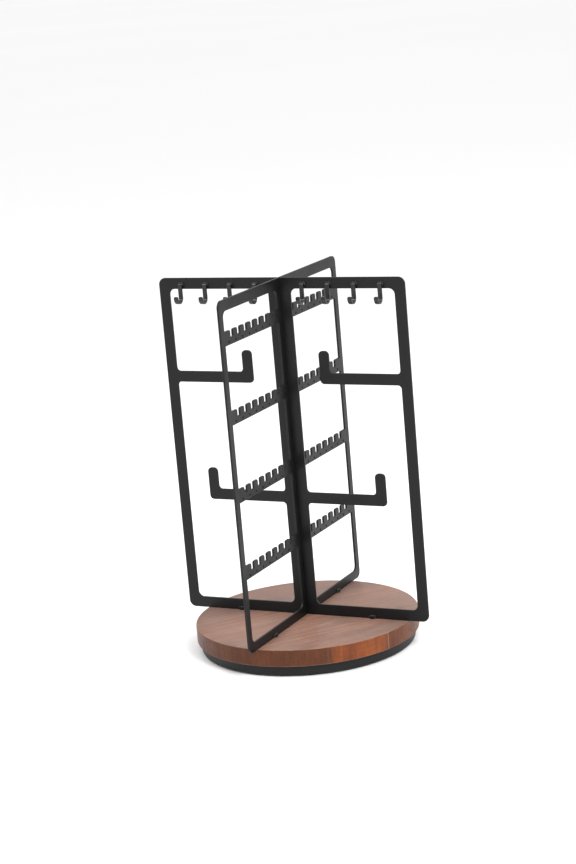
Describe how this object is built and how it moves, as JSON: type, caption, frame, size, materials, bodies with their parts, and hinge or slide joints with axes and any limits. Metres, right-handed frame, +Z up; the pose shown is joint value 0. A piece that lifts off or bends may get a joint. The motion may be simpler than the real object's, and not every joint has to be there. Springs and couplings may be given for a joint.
{
  "type": "rotating eyewear and jewellery display rack",
  "caption": "Two crossed black sheet-metal panels with J arms, comb bars and small hooks, pegged upright into a round wooden turntable on a low black base.",
  "frame": {"origin": "centre of the base on the surface that it stands on, under the turntable's axis", "axes": "+Z up along the turntable's axis, +X along the panel with the J arms, to the right seen from the hooks' side; -Y is the front, the side that the small hooks face; the notched panel lies along Y"},
  "size_m": [0.249, 0.24, 0.3466],
  "materials": {
    "panel_black": "matt black powder coat",
    "hook_black": "satin black powder coat",
    "peg_black": "satin black powder coat over a weld",
    "disc_wood": "oiled walnut-brown hardwood",
    "base_plastic": "matt black moulded plastic",
    "foot_rubber": "matt black rubber",
    "race_steel": "zinc-plated pressed steel",
    "screw_steel": "zinc-plated steel",
    "ball_steel": "polished bearing steel",
    "cage_nylon": "natural nylon",
    "bush_nylon": "natural nylon"
  },
  "bodies": {
    "base": {"turntable_base": "base_plastic", "foot_pads": "foot_rubber", "lower_race": "race_steel", "lower_race_screws": "screw_steel", "pivot_bush": "bush_nylon"},
    "ball_ring": {"ball_cage": "cage_nylon", "bearing_balls": "ball_steel"},
    "turntable": {"wooden_disc": "disc_wood", "upper_race": "race_steel", "upper_race_screws": "screw_steel", "pivot_pin": "screw_steel", "pivot_clip": "screw_steel", "pivot_washer": "screw_steel"},
    "rack": {"arm_panel": "panel_black", "notched_panel": "panel_black", "hook_left_1": "hook_black", "hook_left_2": "hook_black", "hook_left_3": "hook_black", "hook_left_4": "hook_black", "hook_right_1": "hook_black", "hook_right_2": "hook_black", "hook_right_3": "hook_black", "hook_right_4": "hook_black", "peg_left": "peg_black", "peg_right": "peg_black", "peg_front": "peg_black", "peg_back": "peg_black"}
  },
  "joints": [
    {"name": "turntable_spin", "type": "hinge", "parent": "base", "child": "turntable", "pos_m": [0, 0, 0], "axis": [0, 0, 1], "continuous": true},
    {"name": "ball_ring_spin", "type": "hinge", "parent": "base", "child": "ball_ring", "pos_m": [0, 0, 0], "axis": [0, 0, 1], "continuous": true},
    {"name": "rack_lift", "type": "slide", "parent": "turntable", "child": "rack", "axis": [0, 0, 1], "range_m": [0, 0.065]}
  ],
  "couplings": [
    {"joint": "ball_ring_spin", "follows": "turntable_spin", "ratio": 0.5}
  ]
}
